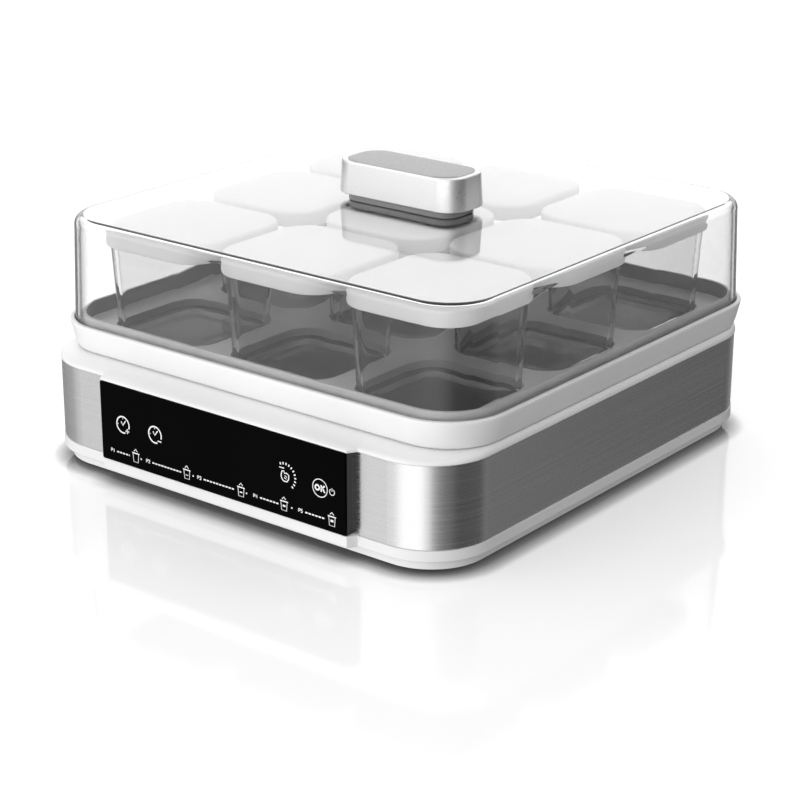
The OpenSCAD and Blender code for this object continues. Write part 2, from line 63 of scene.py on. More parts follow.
def place_camera():
    """Looks down on the corner between the panel and the right side."""
    azimuth, elevation, roll = (math.radians(v) for v in (AZIMUTH, ELEVATION, ROLL))
    back = Vector((math.sin(azimuth) * math.cos(elevation), -math.cos(azimuth) * math.cos(elevation),
                   math.sin(elevation)))
    right = Vector((math.cos(azimuth), math.sin(azimuth), 0))
    up = back.cross(right)
    pivot = (Vector(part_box("dome")[0]) + Vector(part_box("dome")[1])) / 2
    pivot.z = PIVOT_HEIGHT
    eye = pivot + back * DISTANCE + right * SHIFT_RIGHT + up * SHIFT_UP
    tilt_x = right * math.cos(roll) + up * math.sin(roll)
    tilt_y = up * math.cos(roll) - right * math.sin(roll)
    data = bpy.data.cameras.new("camera")
    data.sensor_width = SENSOR_WIDTH
    data.lens = FOCAL_LENGTH
    data.clip_start, data.clip_end = 0.05, 50
    camera = bpy.data.objects.new("camera", data)
    scene.collection.objects.link(camera)
    camera.matrix_world = Matrix.Translation(eye) @ Matrix((tilt_x, tilt_y, back)).transposed().to_4x4()
    scene.camera = camera


place_camera()

# ---------------------------------------------------------------- mesh helpers
CORNER_STEPS = 14  # segments in each rounded corner
SHARP = 32  # degrees, edges over this are kept crisp


def add_mesh(name, verts, faces, sharp=SHARP):
    """A smooth-shaded object from points and faces, with edges over `sharp` degrees kept crisp."""
    mesh = bpy.data.meshes.new(name)
    mesh.from_pydata([tuple(v) for v in verts], [], faces)
    mesh.validate()
    bm = bmesh.new()
    bm.from_mesh(mesh)
    bmesh.ops.remove_doubles(bm, verts=bm.verts, dist=1e-7)
    bmesh.ops.recalc_face_normals(bm, faces=bm.faces)
    bm.to_mesh(mesh)
    bm.free()
    mesh.shade_smooth()
    mesh.set_sharp_from_angle(angle=math.radians(sharp))
    obj = bpy.data.objects.new(name, mesh)
    scene.collection.objects.link(obj)
    return obj


def polar(x, y, r, degrees):
    """The point at distance r from (x, y), at an angle."""
    return x + r * math.cos(math.radians(degrees)), y + r * math.sin(math.radians(degrees))


def arc(x, y, r, start, end, steps):
    """Points on an arc, angles in degrees; in a profile, 0 is straight out and 90 straight up."""
    return [polar(x, y, r, start + (end - start) * i / steps) for i in range(steps + 1)]


def outline(x0, x1, y0, y1, r, front=(), steps=CORNER_STEPS):
    """Points round a rounded rectangle, anticlockwise from the right side, with extra stations along the front."""
    points = arc(x1 - r, y1 - r, r, 0, 90, steps)
    points += arc(x0 + r, y1 - r, r, 90, 180, steps)
    points += arc(x0 + r, y0 + r, r, 180, 270, steps)
    points += [(x, y0) for x in front]
    points += arc(x1 - r, y0 + r, r, 270, 360, steps)
    return points


def skin(name, rings, closed=False, place=None, sharp=SHARP):
    """Joins rings of 3-D points into one solid; the end rings are capped unless the section closes on itself."""
    n = len(rings[0])
    verts = [p for ring in rings for p in ring]
    if place:
        verts = [place(*p) for p in verts]
    faces = []
    for k in range(len(rings) if closed else len(rings) - 1):
        this, following = k * n, (k + 1) % len(rings) * n
        faces += [(this + i, this + (i + 1) % n, following + (i + 1) % n, following + i) for i in range(n)]
    if not closed:
        faces += [tuple(range(n))[::-1], tuple(range((len(rings) - 1) * n, len(rings) * n))]
    return add_mesh(name, verts, faces, sharp)


def square_rings(profile, core, cx=0.0, cy=0.0):
    """Rings round a square of half-width core, one for each (reach, height) of the profile, in mm.

    A reach under 1 mm shrinks the whole ring instead, so that tops can run in to the middle.
    """
    rings = []
    for reach, z in profile:
        half, r = core + reach, reach
        if reach < 1:
            half, r = (core + 1) * 2 ** (reach - 1), 2 ** (reach - 1)
        rings.append([(x * MM, y * MM, z * MM) for x, y in outline(cx - half, cx + half, cy - half, cy + half, r)])
    return rings


def block_rings(sections, cx, cy, steps):
    """Rings of a rounded block, from (half length, half depth, corner radius, height) sections, in mm."""
    return [[(x * MM, y * MM, z * MM) for x, y in outline(cx - l, cx + l, cy - d, cy + d, r, steps=steps)]
            for l, d, r, z in sections]


# ---------------------------------------------------------------- material helpers
def grey(v):
    """A colour without hue."""
    return (v, v, v)


def new_material(name, **values):
    """A Principled material with plain values on its sockets. Returns the material, its node tree and its shader."""
    mat = bpy.data.materials.new(name)
    mat.use_nodes = True
    tree = mat.node_tree
    shader = tree.nodes["Principled BSDF"]
    for key, value in values.items():
        shader.inputs[key.replace("_", " ")].default_value = value
    return mat, tree, shader


def maths(tree, operation, *values):
    """A Math node on sockets and plain numbers."""
    node = tree.nodes.new("ShaderNodeMath")
    node.operation = operation
    for socket, value in zip(node.inputs, values):
        if isinstance(value, (int, float)):
            socket.default_value = value
        else:
            tree.links.new(value, socket)
    return node.outputs[0]


def remap(tree, value, low, high, from_low=0.3, from_high=0.7, curve="LINEAR"):
    """Runs from low to high while the value runs from from_low to from_high, and stays there beyond."""
    node = tree.nodes.new("ShaderNodeMapRange")
    node.interpolation_type = curve
    node.inputs["From Min"].default_value = from_low
    node.inputs["From Max"].default_value = from_high
    node.inputs["To Min"].default_value = low
    node.inputs["To Max"].default_value = high
    tree.links.new(value, node.inputs["Value"])
    return node.outputs["Result"]


def coordinates(tree, scale=(1, 1, 1)):
    """Object coordinates, stretched by scale."""
    texture = tree.nodes.new("ShaderNodeTexCoord")
    mapping = tree.nodes.new("ShaderNodeMapping")
    mapping.inputs["Scale"].default_value = scale
    tree.links.new(texture.outputs["Object"], mapping.inputs["Vector"])
    return mapping.outputs["Vector"]


def split_axes(tree, vector):
    """The X, Y and Z of a vector."""
    node = tree.nodes.new("ShaderNodeSeparateXYZ")
    tree.links.new(vector, node.inputs[0])
    return node.outputs


def surface_normal(tree):
    """The direction the surface faces."""
    return tree.nodes.new("ShaderNodeNewGeometry").outputs["Normal"]


def noise(tree, vector, scale, detail=3.0, rough=0.5):
    """Soft random height, mostly from 0.3 to 0.7."""
    node = tree.nodes.new("ShaderNodeTexNoise")
    node.inputs["Scale"].default_value = scale
    node.inputs["Detail"].default_value = detail
    node.inputs["Roughness"].default_value = rough
    tree.links.new(vector, node.inputs["Vector"])
    return node.outputs["Fac"]


def blend_colour(tree, value, dark, light, from_low=0.3, from_high=0.7):
    """Runs from one colour to another with the value."""
    ramp = tree.nodes.new("ShaderNodeValToRGB")
    first, last = ramp.color_ramp.elements
    first.position, last.position = from_low, from_high
    first.color, last.color = (*dark, 1), (*light, 1)
    tree.links.new(value, ramp.inputs["Fac"])
    return ramp.outputs["Color"]


def uneven_colour(tree, value, colour, spread, from_low=0.3, from_high=0.7):
    """The colour, darkened by up to `spread` where the value is low."""
    return blend_colour(tree, value, tuple(c * (1 - spread) for c in colour), colour, from_low, from_high)


def tone_over(tree, amount, colour, tone, blend="MIX"):
    """Lays a plain grey over a colour."""
    node = tree.nodes.new("ShaderNodeMix")
    node.data_type = "RGBA"
    node.blend_type = blend
    tree.links.new(amount, node.inputs["Factor"])
    tree.links.new(colour, node.inputs["A"])
    node.inputs["B"].default_value = (*grey(tone), 1)
    return node.outputs["Result"]


def grain(tree, shader, height, strength, distance, edge=0.0):
    """Bump from a height, over edges softened by `edge` metres."""
    bump = tree.nodes.new("ShaderNodeBump")
    bump.inputs["Strength"].default_value = strength
    bump.inputs["Distance"].default_value = distance
    tree.links.new(height, bump.inputs["Height"])
    if edge:
        bevel = tree.nodes.new("ShaderNodeBevel")
        bevel.samples = 4
        bevel.inputs["Radius"].default_value = edge
        tree.links.new(bevel.outputs["Normal"], bump.inputs["Normal"])
    tree.links.new(bump.outputs["Normal"], shader.inputs["Normal"])


# ---------------------------------------------------------------- kinds of material
def plastic(name, colour, roughness, spread=0.05, scale=900, edge=0.0003, strength=0.12, **values):
    """Moulded plastic: faint spark-eroded grain, slight unevenness of tone and gloss."""
    mat, tree, shader = new_material(name, **values)
    vector = coordinates(tree)
    cloud = noise(tree, vector, 18, 2)
    fine = noise(tree, vector, scale, 2)
    tree.links.new(uneven_colour(tree, cloud, colour, spread), shader.inputs["Base Color"])
    tree.links.new(remap(tree, fine, roughness * 0.85, roughness * 1.15), shader.inputs["Roughness"])
    grain(tree, shader, fine, strength, 0.00004, edge)
    return mat


def clear(name, colour, ior, scale, strength, edge_shade_tone, start, full=0.95, rolled=False):
    """Clear glass or plastic with very faint waves in its surface, with shade painted into its colour where its walls
    stand edge-on.

    The painted edge shade is laid over the colour as the wall turns from `start` to `full` of the way to edge-on.
    rolled also lays it over the bend round a flat top.
    """
    mat, tree, shader = new_material(name, IOR=ior, Roughness=0.0, Transmission_Weight=1.0)
    wave = noise(tree, coordinates(tree), scale, 1)
    turned = tree.nodes.new("ShaderNodeLayerWeight").outputs["Facing"]
    level = maths(tree, "ABSOLUTE", split_axes(tree, surface_normal(tree))["Z"])
    upright = remap(tree, level, 1.0, 0.0, 0.2, 0.7)
    amount = maths(tree, "MULTIPLY", remap(tree, turned, 0.0, 1.0, start, full), upright)
    if rolled:
        off_the_flat = remap(tree, level, 1.0, 0.0, 0.9975, 0.9997)
        bend = maths(tree, "MULTIPLY", off_the_flat, remap(tree, turned, 0.0, 1.0, 0.66, 0.72))
        amount = maths(tree, "MAXIMUM", amount, bend)
    # painted shade: a grey laid over the glass's colour at edge-on walls, and over the bend round the top
    tree.links.new(tone_over(tree, amount, uneven_colour(tree, wave, colour, 0.015), edge_shade_tone),
                   shader.inputs["Base Color"])
    grain(tree, shader, wave, strength, 0.0004)
    return mat


def metal(name, colour, roughness, scale, stretch=(1, 1, 1), anisotropic=0.0, strength=0.15, edge=0.0, spread=0.25):
    """Metal with drawn or cast grain."""
    mat, tree, shader = new_material(name, Metallic=1.0, Anisotropic=anisotropic, Anisotropic_Rotation=0.25)
    lines = noise(tree, coordinates(tree, stretch), scale, 4, 0.65)
    tree.links.new(uneven_colour(tree, lines, colour, spread, 0.25, 0.75), shader.inputs["Base Color"])
    tree.links.new(remap(tree, lines, roughness * 0.75, roughness * 1.3), shader.inputs["Roughness"])
    grain(tree, shader, lines, strength, 0.00003, edge)
    if anisotropic:
        tangent = tree.nodes.new("ShaderNodeTangent")
        tangent.direction_type = "RADIAL"
        tangent.axis = "Z"
        tree.links.new(tangent.outputs["Tangent"], shader.inputs["Tangent"])
    return mat


def paint_upstand_shade(mat):
    """Paints shade on the inner face of the tray's upstand, which comes out darker than its floor and its top edge."""
    tree = mat.node_tree
    shader = tree.nodes["Principled BSDF"]
    outward = tree.nodes.new("ShaderNodeVectorMath")
    outward.operation = "DOT_PRODUCT"
    tree.links.new(coordinates(tree, (1, 1, 0)), outward.inputs[0])
    tree.links.new(surface_normal(tree), outward.inputs[1])
    faces_in = remap(tree, outward.outputs["Value"], 1.0, 0.0, -0.06, -0.03)
    height = split_axes(tree, coordinates(tree))["Z"]
    wall_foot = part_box("jar_tray")[0][2] + 5 * MM
    above_floor = remap(tree, height, 0.0, 1.0, wall_foot, wall_foot + 0.3 * MM)
    satin = shader.inputs["Base Color"].links[0].from_socket
    # painted shade: the inward face above the wall's foot is multiplied down to a fifth of the tray's colour
    tree.links.new(tone_over(tree, maths(tree, "MULTIPLY", faces_in, above_floor), satin, 0.2, "MULTIPLY"),
                   shader.inputs["Base Color"])


# ---------------------------------------------------------------- materials, by the CAD's material slots
by_slot = {
    "white_plastic": plastic("white_plastic", grey(0.83), 0.34, IOR=1.5, edge=0.0006),
    "lid_white": plastic("lid_white", grey(0.92), 0.42, spread=0.04, scale=500, edge=0.0, strength=0.2),
    "brushed_steel": metal("brushed_steel", grey(0.66), 0.25, 260, stretch=(0.02, 0.02, 6.0), anisotropic=0.7,
                           strength=0.06, spread=0.06),
    "tray_satin": plastic("tray_satin", grey(0.9), 0.5, spread=0.14, scale=1400, edge=0.0004, strength=0.5),
    # The heating plate is dark; its near-black colour is also painted shade in the wells under the jars.
    "plate_dark": plastic("plate_dark", grey(0.022), 0.55, spread=0.3, scale=700, strength=0.3,
                          Specular_IOR_Level=0.06),
    # The dome's and the jars' glass paint shade into their colour where their walls stand edge-on.
    "clear_plastic": clear("clear_plastic", grey(0.985), 1.45, scale=14, strength=0.015, edge_shade_tone=0.02, start=0.42,
                           full=0.85, rolled=True),
    "jar_glass": clear("jar_glass", grey(0.82), 1.1, scale=45, strength=0.3, edge_shade_tone=0.25, start=0.55),
    "smoke_plastic": plastic("smoke_plastic", grey(0.42), 0.12, spread=0.15, scale=60, edge=0.0004, strength=0.02,
                             IOR=1.49, Transmission_Weight=0.3),
    "silver_satin": metal("silver_satin", grey(0.71), 0.34, 900, strength=0.006, spread=0.02),
    "grey_satin": metal("grey_satin", grey(0.34), 0.38, 900, strength=0.05, spread=0.08),
    "black_glass": plastic("black_glass", grey(0.002), 0.06, spread=0.2, scale=60, edge=0.0, strength=0.01,
                           IOR=1.5, Specular_IOR_Level=0.01),
    "black_plastic": plastic("black_plastic", grey(0.02), 0.35),
    "black_rubber": plastic("black_rubber", grey(0.03), 0.75, scale=1500, strength=0.4),
    "zinc_steel": metal("zinc_steel", grey(0.6), 0.35, 500, strength=0.2, edge=0.0003),
    "brass": metal("brass", (0.78, 0.6, 0.3), 0.3, 500, strength=0.2, edge=0.0003),
    "foil": metal("foil", grey(0.8), 0.35, 120, strength=0.5),
    "silicone_red": plastic("silicone_red", (0.5, 0.06, 0.04), 0.6, scale=600),
    "ceramic_tan": plastic("ceramic_tan", (0.7, 0.62, 0.48), 0.6, scale=500, strength=0.3),
    "circuit_board": plastic("circuit_board", (0.02, 0.16, 0.06), 0.35, spread=0.3, scale=300),
    "display_dark": plastic("display_dark", grey(0.02), 0.15, scale=200),
    "winding_yellow": plastic("winding_yellow", (0.7, 0.5, 0.06), 0.4),
    "capacitor_blue": plastic("capacitor_blue", (0.02, 0.04, 0.2), 0.3),
    "terminal_green": plastic("terminal_green", (0.03, 0.3, 0.08), 0.45),
    "fuse_glass": plastic("fuse_glass", (0.7, 0.75, 0.78), 0.1),
    "cable_grey": plastic("cable_grey", grey(0.45), 0.5),
    "cable_brown": plastic("cable_brown", (0.18, 0.07, 0.03), 0.5),
}
# painted shade on the inner face of the tray's upstand
paint_upstand_shade(by_slot["tray_satin"])
shaded_base_white = plastic("shaded_base_white", grey(0.76), 0.36, IOR=1.5, edge=0.0006)  # a tone under the frame above it: the same white plastic with painted shade near the floor
print_white = plastic("print_white", grey(0.85), 0.45, scale=400, edge=0.0)
for name, obj in nodes.items():
    obj.data.materials.clear()
    obj.data.materials.append(shaded_base_white if name == "base_shell" else by_slot[slot_of[name]])


# ---------------------------------------------------------------- pieces and the CAD nodes they stand for
def stand_for(obj, node, body):
    """obj takes the place, the material slot and the movement of a CAD node."""
    obj.data.materials.append(by_slot[slot_of[node]])
    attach(obj, body)
    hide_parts(node)


def node_box(name):
    """Lowest and highest corner of a CAD node, in mm, and its middle."""
    lo, hi = (Vector(v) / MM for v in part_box(name))
    return lo, hi, (lo + hi) / 2


# Sizes from here on are in mm. CORE is the distance from the middle of the dome and of the collar, along x and along
# y, to the centres of their corners. Profiles give their reach beyond it.
CORE = 104.8

# ---------------------------------------------------------------- dome
DOME_LEAN, DOME_WALL, DOME_BEND = 1.9, 2.1, 5.0  # lean of the walls, their thickness, radius round the top


def dome():
    """One moulding: leaning walls that bend over into a flat top."""
    lo, hi, mid = node_box("dome")
    foot = (hi.x - lo.x) / 2 - CORE
    top = foot - DOME_LEAN
    bend_z = hi.z - DOME_BEND
    wall_h = bend_z - lo.z
    flat = top - DOME_BEND - 0.6
    profile = [(0.2, hi.z), (8, hi.z), (flat, hi.z)]
    profile += arc(top - DOME_BEND, bend_z, DOME_BEND, 90, 0, 10)
    profile += [(foot - DOME_LEAN * t, lo.z + wall_h * t) for t in (0.66, 0.33, 0.04)]
    profile += [(foot, lo.z + 0.5), (foot - 0.3, lo.z)]
    foot_in = foot - DOME_WALL
    profile += [(foot_in + 0.3, lo.z), (foot_in, lo.z + 0.5)]
    profile += [(foot_in - DOME_LEAN * t, lo.z + wall_h * t) for t in (0.04, 0.33, 0.66)]
    profile += arc(top - DOME_BEND, bend_z, DOME_BEND - DOME_WALL, 0, 90, 8)
    under = hi.z - DOME_WALL
    profile += [(flat, under), (8, under), (0.2, under)]
    stand_for(skin("dome_clear", square_rings(profile, CORE, mid.x, mid.y)), "dome", "cover")


dome()

# ---------------------------------------------------------------- collar
SEAT_OUT, SEAT_IN = 31.3, 27.3  # the step that the dome stands on
FLANGE_IN, FLANGE_OUT, FLANGE_T = 22, 28.5, 1.9  # the flange under the tray


def collar():
    """Flared ring round the foot of the dome."""
    lo, hi, mid = node_box("rim_ring")
    out, seat_z = (hi.x - lo.x) / 2 - CORE, node_box("dome")[0].z
    profile = [(SEAT_OUT, hi.z - 0.5), (SEAT_OUT + 0.25, hi.z), (out - 0.9, hi.z)]
    profile += arc(out - 0.8, hi.z - 0.8, 0.8, 80, 10, 4)
    profile += [(out - 0.3, hi.z - 2.5), (out - 2.0, lo.z + 5), (out - 3.1, lo.z + 1.6)]
    profile += arc(out - 4.0, lo.z + 1.4, 0.8, -10, -80, 4)
    profile += [(out - 4.9, lo.z + 0.5), (out - 4.9, lo.z)]
    profile += [(FLANGE_IN, lo.z), (FLANGE_IN, lo.z + FLANGE_T), (FLANGE_OUT, lo.z + FLANGE_T)]
    profile += [(FLANGE_OUT + 0.5, seat_z - 2), (SEAT_IN, seat_z - 2), (SEAT_IN, seat_z), (SEAT_OUT, seat_z)]
    rings = square_rings(profile, CORE, mid.x, mid.y)
    stand_for(skin("collar_ring", rings, closed=True), "rim_ring", "base")


collar()

# ---------------------------------------------------------------- top frame with its brow over the panel
panel_low, panel_high, panel_mid = node_box("panel_glass")
PANEL_HALF = (panel_high.x - panel_low.x) / 2
SHOULDER_H = 4.1  # rise of the sloping shoulder
SHOULDER_IN, FRAME_CORNER = 29.5, 34.4  # reach of the shoulder's inner edge, corner radius of its outer edge
SHOULDER_STEPS = 12
LEDGE_IN, LEDGE_UNDER = 13, 1.7  # how far the ledge under the collar runs in, height of its underside
BROW_STEPS = (0.2, 1.6, 3.2)  # stations beside the panel, over which the brow runs out


def top_frame():
    """The frame follows the band at its outer edge and the collar at its inner one."""
    band_low, band_high, _ = node_box("steel_band")
    mid = node_box("dome")[2]
    px = panel_mid.x
    beside = [PANEL_HALF + step for step in BROW_STEPS]
    stations = [px - v for v in reversed(beside)] + [px - 20, px + 20] + [px + v for v in beside]
    foot = band_high.z + 0.1
    half = CORE + SHOULDER_IN
    outer = (band_low.x - 0.4, band_high.x + 0.4, band_low.y - 0.4, band_high.y + 0.4, FRAME_CORNER)
    inner = (mid.x - half, mid.x + half, mid.y - half, mid.y + half, SHOULDER_IN)
    brow = panel_low.y + 0.8 - outer[2]

    def ring(t, rise, inset=0.0, push=1.0):
        """t runs from the outer edge (0) to the collar (1); push is how much of the brow the ring carries."""
        x0, x1, y0, y1, r = (p + (q - p) * t for p, q in zip(outer, inner))
        points = []
        for x, y in outline(x0 + inset, x1 - inset, y0 + inset, y1 - inset, r - inset, stations):
            share = 0.0
            if y < y0 + inset + 0.01 and push:
                past = abs(x - px) - PANEL_HALF - 0.2
                share = min(max(1 - past / 3.0, 0), 1)
            points.append((x * MM, (y + brow * push * share) * MM, (foot + rise) * MM))
        return points

    rings = [ring(0, 0.3, 1.6), ring(0, 0, 1.2), ring(0, 0, 0.3), ring(0, 0.3)]
    for k in range(1, SHOULDER_STEPS + 1):
        across, up = polar(0, 0, 1, 90 * k / SHOULDER_STEPS)
        t = 1 - across
        rings.append(ring(t, 0.5 + (SHOULDER_H - 0.5) * up, 0.0, max(0, 1 - t * 1.15) ** 0.8))
    rings += [ring(1, SHOULDER_H, 3.5, 0), ring(1, SHOULDER_H, LEDGE_IN, 0)]
    rings += [ring(1, LEDGE_UNDER, LEDGE_IN, 0), ring(1, LEDGE_UNDER, 3.5, 0)]
    stand_for(skin("frame_shoulder", rings, closed=True, sharp=40), "top_frame", "base")


top_frame()

# ---------------------------------------------------------------- jars and their lids
JAR_CORE, JAR_TAPER, JAR_WALL, JAR_BASE = 18.6, 2.9, 3.2, 2.2  # corner centres, taper to the foot, thicknesses
JAR_LIP = 1.2  # radius of the rounded rim
LID_OUT = 18.5  # reach of the lid's skirt


def jar(i):
    """A square tapered glass jar with a flat foot and a rounded rim."""
    lo, hi, mid = node_box(f"jar_{i}")
    h = hi.z - lo.z
    top = (hi.x - lo.x) / 2 - JAR_CORE
    foot = top - JAR_TAPER
    foot_in = foot - JAR_WALL
    lip_z = hi.z - JAR_LIP

    def wall(bottom, s):
        """A point on the straight of the wall, at s of its height."""
        return bottom + JAR_TAPER * s, lo.z + 3 + (h - 3 - JAR_LIP) * s

    profile = [(0.2, lo.z + 0.3), (foot - 6, lo.z + 0.3), (foot - 5.5, lo.z), (foot - 1.8, lo.z)]
    profile += arc(foot - 1.8, lo.z + 1.8, 1.8, -80, 0, 6)
    profile += [wall(foot, 0.35), wall(foot, 0.7)]
    profile += arc(top - JAR_LIP, lip_z, JAR_LIP, 0, 90, 4)
    profile += arc(top - JAR_WALL + JAR_LIP, lip_z, JAR_LIP, 90, 180, 4)
    profile += [wall(foot_in, 0.7), wall(foot_in, 0.35)]
    base_z = lo.z + JAR_BASE
    profile += arc(foot_in + JAR_TAPER * JAR_BASE / h - 2, base_z + 2, 2, 0, -80, 7)
    profile += [(2, base_z), (0.2, base_z + 0.1)]
    obj = skin(f"jar_{i}_glass", square_rings(profile, JAR_CORE, mid.x, mid.y))
    stand_for(obj, f"jar_{i}", f"jar_{i}")


def jar_lid(i):
    """A soft square lid: a crowned top, a skirt outside the jar's rim and a plug inside it."""
    jar_low, jar_high, _ = node_box(f"jar_{i}")
    lo, hi, mid = node_box(f"jar_lid_{i}")
    mouth = jar_high.z
    plug = (jar_high.x - jar_low.x) / 2 - JAR_CORE - JAR_WALL - 0.6
    skirt_in = LID_OUT - 1.3
    profile = [(-6, hi.z), (0.2, hi.z - 0.05), (8, hi.z - 0.25)]
    profile += [(LID_OUT - 3.2, hi.z - 0.55), (LID_OUT - 2.6, hi.z - 0.7)]
    profile += arc(LID_OUT - 2.2, hi.z - 2.9, 2.2, 80, 0, 6)
    profile += [(LID_OUT, lo.z + 1.0), (LID_OUT - 0.25, lo.z + 0.25), (LID_OUT - 0.6, lo.z), (LID_OUT - 1.1, lo.z)]
    profile += [(skirt_in, lo.z + 0.4), (skirt_in, mouth - 0.4), (skirt_in - 0.4, mouth)]
    profile += [(plug + 0.3, mouth), (plug, mouth - 0.3), (plug, mouth - 2.6), (plug - 0.4, mouth - 3)]
    profile += [(plug - 0.8, mouth - 3), (plug - 1.2, mouth - 2.6), (plug - 1.2, mouth - 0.4), (plug - 1.6, mouth)]
    profile += [(0.2, mouth), (-6, mouth)]
    obj = skin(f"jar_lid_{i}_cap", square_rings(profile, JAR_CORE, mid.x, mid.y))
    stand_for(obj, f"jar_lid_{i}", f"jar_lid_{i}")


for i in range(1, 10):
    jar(i)
    jar_lid(i)

# ---------------------------------------------------------------- handle
HANDLE_STEPS = 10  # segments in each corner


def grip():
    """The silver grip, hollow from below, and the plate let into its top."""
    lo, hi, mid = node_box("handle_cap")
    l, d, z0, z1 = (hi.x - lo.x) / 2, (hi.y - lo.y) / 2, lo.z, hi.z
    hollow = [(l - 6, d - 6, 6, z0 + 4), (l - 3.2, d - 3.2, 9, z0 + 4), (l - 2.8, d - 2.8, 9.6, z0 + 0.3)]
    side = [(l - 2.4, d - 2.4, 10, z0), (l - 0.5, d - 0.5, 12, z0), (l - 0.1, d - 0.1, 12.4, z0 + 0.4),
            (l - 0.9, d - 0.9, 12.2, z1 - 1.3), (l - 1.05, d - 1.05, 12.1, z1 - 0.7), (l - 1.5, d - 1.3, 12, z1 - 0.35)]
    pocket = [(l - 4.3, d - 1.7, 11.7, z1 - 0.3), (l - 4.5, d - 1.9, 11.6, z1 - 0.4),
              (l - 4.6, d - 2.0, 11.5, z1 - 0.8), (l - 8, d - 5, 8, z1 - 0.8)]
    rings = block_rings(hollow + side + pocket, mid.x, mid.y, HANDLE_STEPS)
    stand_for(skin("handle_grip", rings), "handle_cap", "cover")

    plate = [(l - 4.8, d - 2.2, 11.4, z1 - 0.75), (l - 4.7, d - 2.1, 11.4, z1 - 0.4),
             (l - 4.9, d - 2.3, 11.3, z1 - 0.25), (l - 9, d - 5, 9, z1 - 0.12), (l - 18, d - 9, 5, z1 - 0.02)]
    stand_for(skin("handle_inlay_plate", block_rings(plate, mid.x, mid.y, HANDLE_STEPS)), "handle_inlay", "cover")


def smoke_slab(node, piece):
    """A smoke-grey slab with softened edges: the riser over the dome's top and the clamp under it."""
    lo, hi, mid = node_box(node)
    l, d = (hi.x - lo.x) / 2, (hi.y - lo.y) / 2
    half = [(3, 6.5, 0), (0.5, 9, 0), (0.15, 9.4, 0.15), (0, 9.5, 0.5)]  # inset, corner radius, distance from the face
    sections = [(l - inset, d - inset, r, lo.z + rise) for inset, r, rise in half]
    sections += [(l - inset, d - inset, r, hi.z - rise) for inset, r, rise in reversed(half)]
    stand_for(skin(piece, block_rings(sections, mid.x, mid.y, HANDLE_STEPS)), node, "cover")


grip()
smoke_slab("handle_riser", "handle_riser_block")
smoke_slab("handle_retainer", "handle_clamp")

# ---------------------------------------------------------------- panel glass
GLASS_T = 1.5  # thickness, back from the front of the CAD's glass
PANEL_HALF_H = (panel_high.z - panel_low.z) / 2


def on_front(x, y, z):
    """Turns a flat block so that its height runs out of the panel."""
    return (panel_mid.x * MM + x, (panel_low.y + GLASS_T) * MM - z, panel_mid.z * MM + y)


def panel_glass():
    """A flat black plate with a fine chamfer."""
    w, h = PANEL_HALF, PANEL_HALF_H
    sections = [(w, h, 0.8, 0), (w, h, 0.8, 0.9), (w - 0.12, h - 0.12, 0.8, 1.25), (w - 0.45, h - 0.45, 0.7, 1.44),
                (w - 1.2, h - 1.2, 0.6, 1.45)]
    stand_for(skin("panel_front", block_rings(sections, 0, 0, 6), place=on_front), "panel_glass", "base")


panel_glass()

# ---------------------------------------------------------------- printed marks, raised a hair over the glass
# Places are in mm from the panel's middle and above its bottom edge.
INK_BACK, INK_FRONT = 1.44, 1.485
mark_verts, mark_faces = [], []


def mark(points, width=0.6, closed=False):
    """A printed line through points."""
    line = [Vector((x, z - PANEL_HALF_H)) for x, z in points]
    n = len(line)
    left, right = [], []
    for i, p in enumerate(line):
        before = line[i - 1] if (i or closed) else p
        after = line[(i + 1) % n] if (i < n - 1 or closed) else p
        along = (after - before).normalized()
        side = Vector((-along.y, along.x)) * width / 2
        left.append(p + side)
        right.append(p - side)
    strip(left, right, closed)


def strip(left, right, closed):
    """Adds a thin raised strip between two edges."""
    base, n = len(mark_verts), len(left)
    for lift in (INK_BACK, INK_FRONT):
        mark_verts.extend(on_front(p.x * MM, p.y * MM, lift * MM) for p in left + right)
    for i in range(n if closed else n - 1):
        j = (i + 1) % n
        l0, l1, r0, r1 = base + i, base + j, base + n + i, base + n + j
        top_l0, top_l1, top_r0, top_r1 = (v + 2 * n for v in (l0, l1, r0, r1))
        mark_faces.extend([(l0, r0, r1, l1), (top_l0, top_l1, top_r1, top_r0), (l0, l1, top_l1, top_l0),
                           (r0, top_r0, top_r1, r1)])
    if not closed:
        for i in (0, n - 1):
            l0, r0 = base + i, base + n + i
            mark_faces.append((l0, l0 + 2 * n, r0 + 2 * n, r0))


def arc_mark(x, z, r, start, end, width=0.6):
    """A printed arc, or a whole ring."""
    steps = max(8, int(abs(end - start) / 9))
    whole = abs(end - start) >= 360
    points = arc(x, z, r, start, end, steps)
    mark(points[:-1] if whole else points, width, closed=whole)


GLYPHS = {
    "P": [[(0, 0), (0, 1), (0.45, 1), (0.6, 0.88), (0.6, 0.6), (0.45, 0.48), (0, 0.48)]],
    "K": [[(0, 0), (0, 1)], [(0.62, 1), (0.06, 0.48)], [(0.2, 0.6), (0.66, 0)]],
    "1": [[(0.1, 0.8), (0.32, 1), (0.32, 0)]],
    "2": [[(0, 0.8), (0.15, 1), (0.45, 1), (0.6, 0.8), (0.6, 0.65), (0, 0), (0.6, 0)]],
    "3": [[(0, 0.9), (0.2, 1), (0.45, 1), (0.6, 0.78), (0.45, 0.53), (0.25, 0.53)],
          [(0.45, 0.53), (0.6, 0.27), (0.45, 0), (0.2, 0), (0, 0.1)]],
    "4": [[(0.45, 0), (0.45, 1), (0, 0.3), (0.62, 0.3)]],
    "5": [[(0.58, 1), (0.06, 1), (0.02, 0.55), (0.4, 0.6), (0.6, 0.35), (0.45, 0.03), (0, 0.03)]],
}
LETTER_PITCH = 0.85  # of the letters' height


def write(text, x, z, size, width):
    """Letters of a given height, drawn as lines."""
    for letter in text:
        for line in GLYPHS[letter]:
            mark([(x + u * size, z + v * size) for u, v in line], width)
        x += size * LETTER_PITCH


